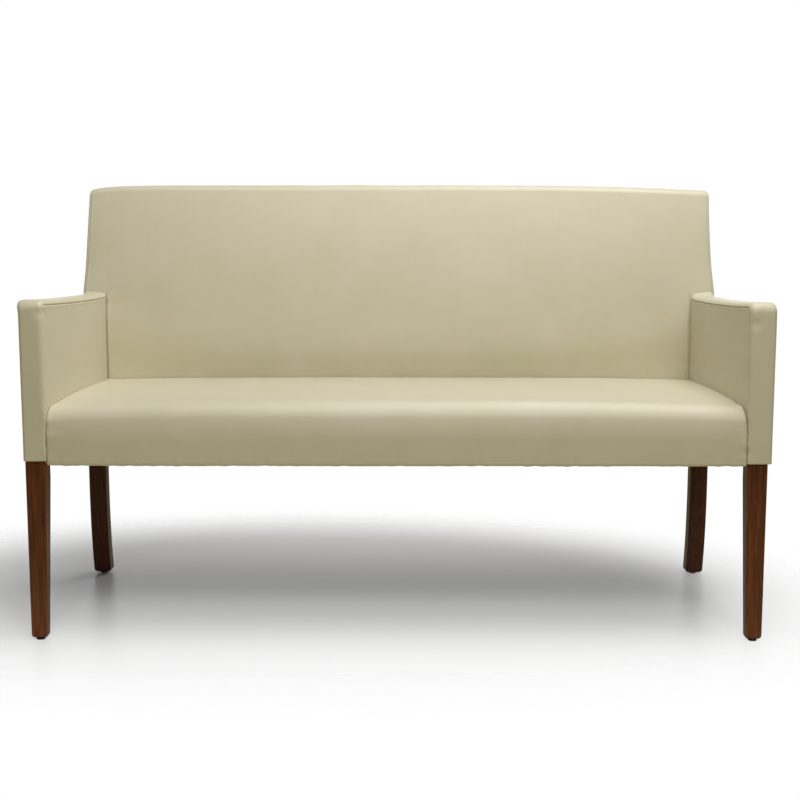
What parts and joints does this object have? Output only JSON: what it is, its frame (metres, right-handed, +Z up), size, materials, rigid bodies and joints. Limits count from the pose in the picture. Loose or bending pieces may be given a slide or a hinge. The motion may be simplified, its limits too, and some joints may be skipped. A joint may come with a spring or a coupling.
{
  "type": "loveseat",
  "caption": "Upholstered loveseat with a tight seat and back, slim arms, tapered front legs and swept rear legs.",
  "frame": {"origin": "middle of the footprint, on the floor", "axes": "+Z up, +X across the width to the viewer's right, -Y towards the front of the seat"},
  "size_m": [1.452, 0.6542, 0.9065],
  "materials": {
    "walnut": "satin lacquer over a dark walnut stain, grain along each leg",
    "beech": "planed hardwood, unfinished",
    "hardboard": "brown pressed board",
    "leather": "cream faux leather, fine grain, satin",
    "foam": "cut polyurethane foam",
    "webbing": "woven elastic webbing",
    "cambric": "black non-woven cloth",
    "glide": "black moulded plastic"
  },
  "bodies": {
    "root": {"arm_cover_left": "leather", "arm_cover_right": "leather", "arm_foam_left": "foam", "arm_foam_right": "foam", "arm_inner_panel_left": "hardboard", "arm_inner_panel_right": "hardboard", "arm_outer_panel_left": "hardboard", "arm_outer_panel_right": "hardboard", "arm_rail_left": "beech", "arm_rail_right": "beech", "back_foam": "foam", "back_lower_rail": "beech", "back_stile": "beech", "back_strap_1": "webbing", "back_strap_2": "webbing", "back_strap_3": "webbing", "back_strap_4": "webbing", "back_top_rail": "beech", "corner_block_front_left": "beech", "corner_block_front_right": "beech", "corner_block_rear_left": "beech", "corner_block_rear_right": "beech", "dust_cover": "cambric", "front_glide_left": "glide", "front_glide_right": "glide", "front_leg_left": "walnut", "front_leg_right": "walnut", "inside_back_cover": "leather", "outside_back_cover": "leather", "outside_back_panel": "hardboard", "rear_glide_left": "glide", "rear_glide_right": "glide", "rear_leg_left": "walnut", "rear_leg_right": "walnut", "seat_cover": "leather", "seat_cross_rail": "beech", "seat_cross_strap_1": "webbing", "seat_cross_strap_2": "webbing", "seat_cross_strap_3": "webbing", "seat_foam": "foam", "seat_front_rail": "beech", "seat_rear_rail": "beech", "seat_side_rail_left": "beech", "seat_side_rail_right": "beech", "seat_strap_01": "webbing", "seat_strap_02": "webbing", "seat_strap_03": "webbing", "seat_strap_04": "webbing", "seat_strap_05": "webbing", "seat_strap_06": "webbing", "seat_strap_07": "webbing", "seat_strap_08": "webbing", "seat_strap_09": "webbing", "seat_strap_10": "webbing"}
  },
  "joints": []
}
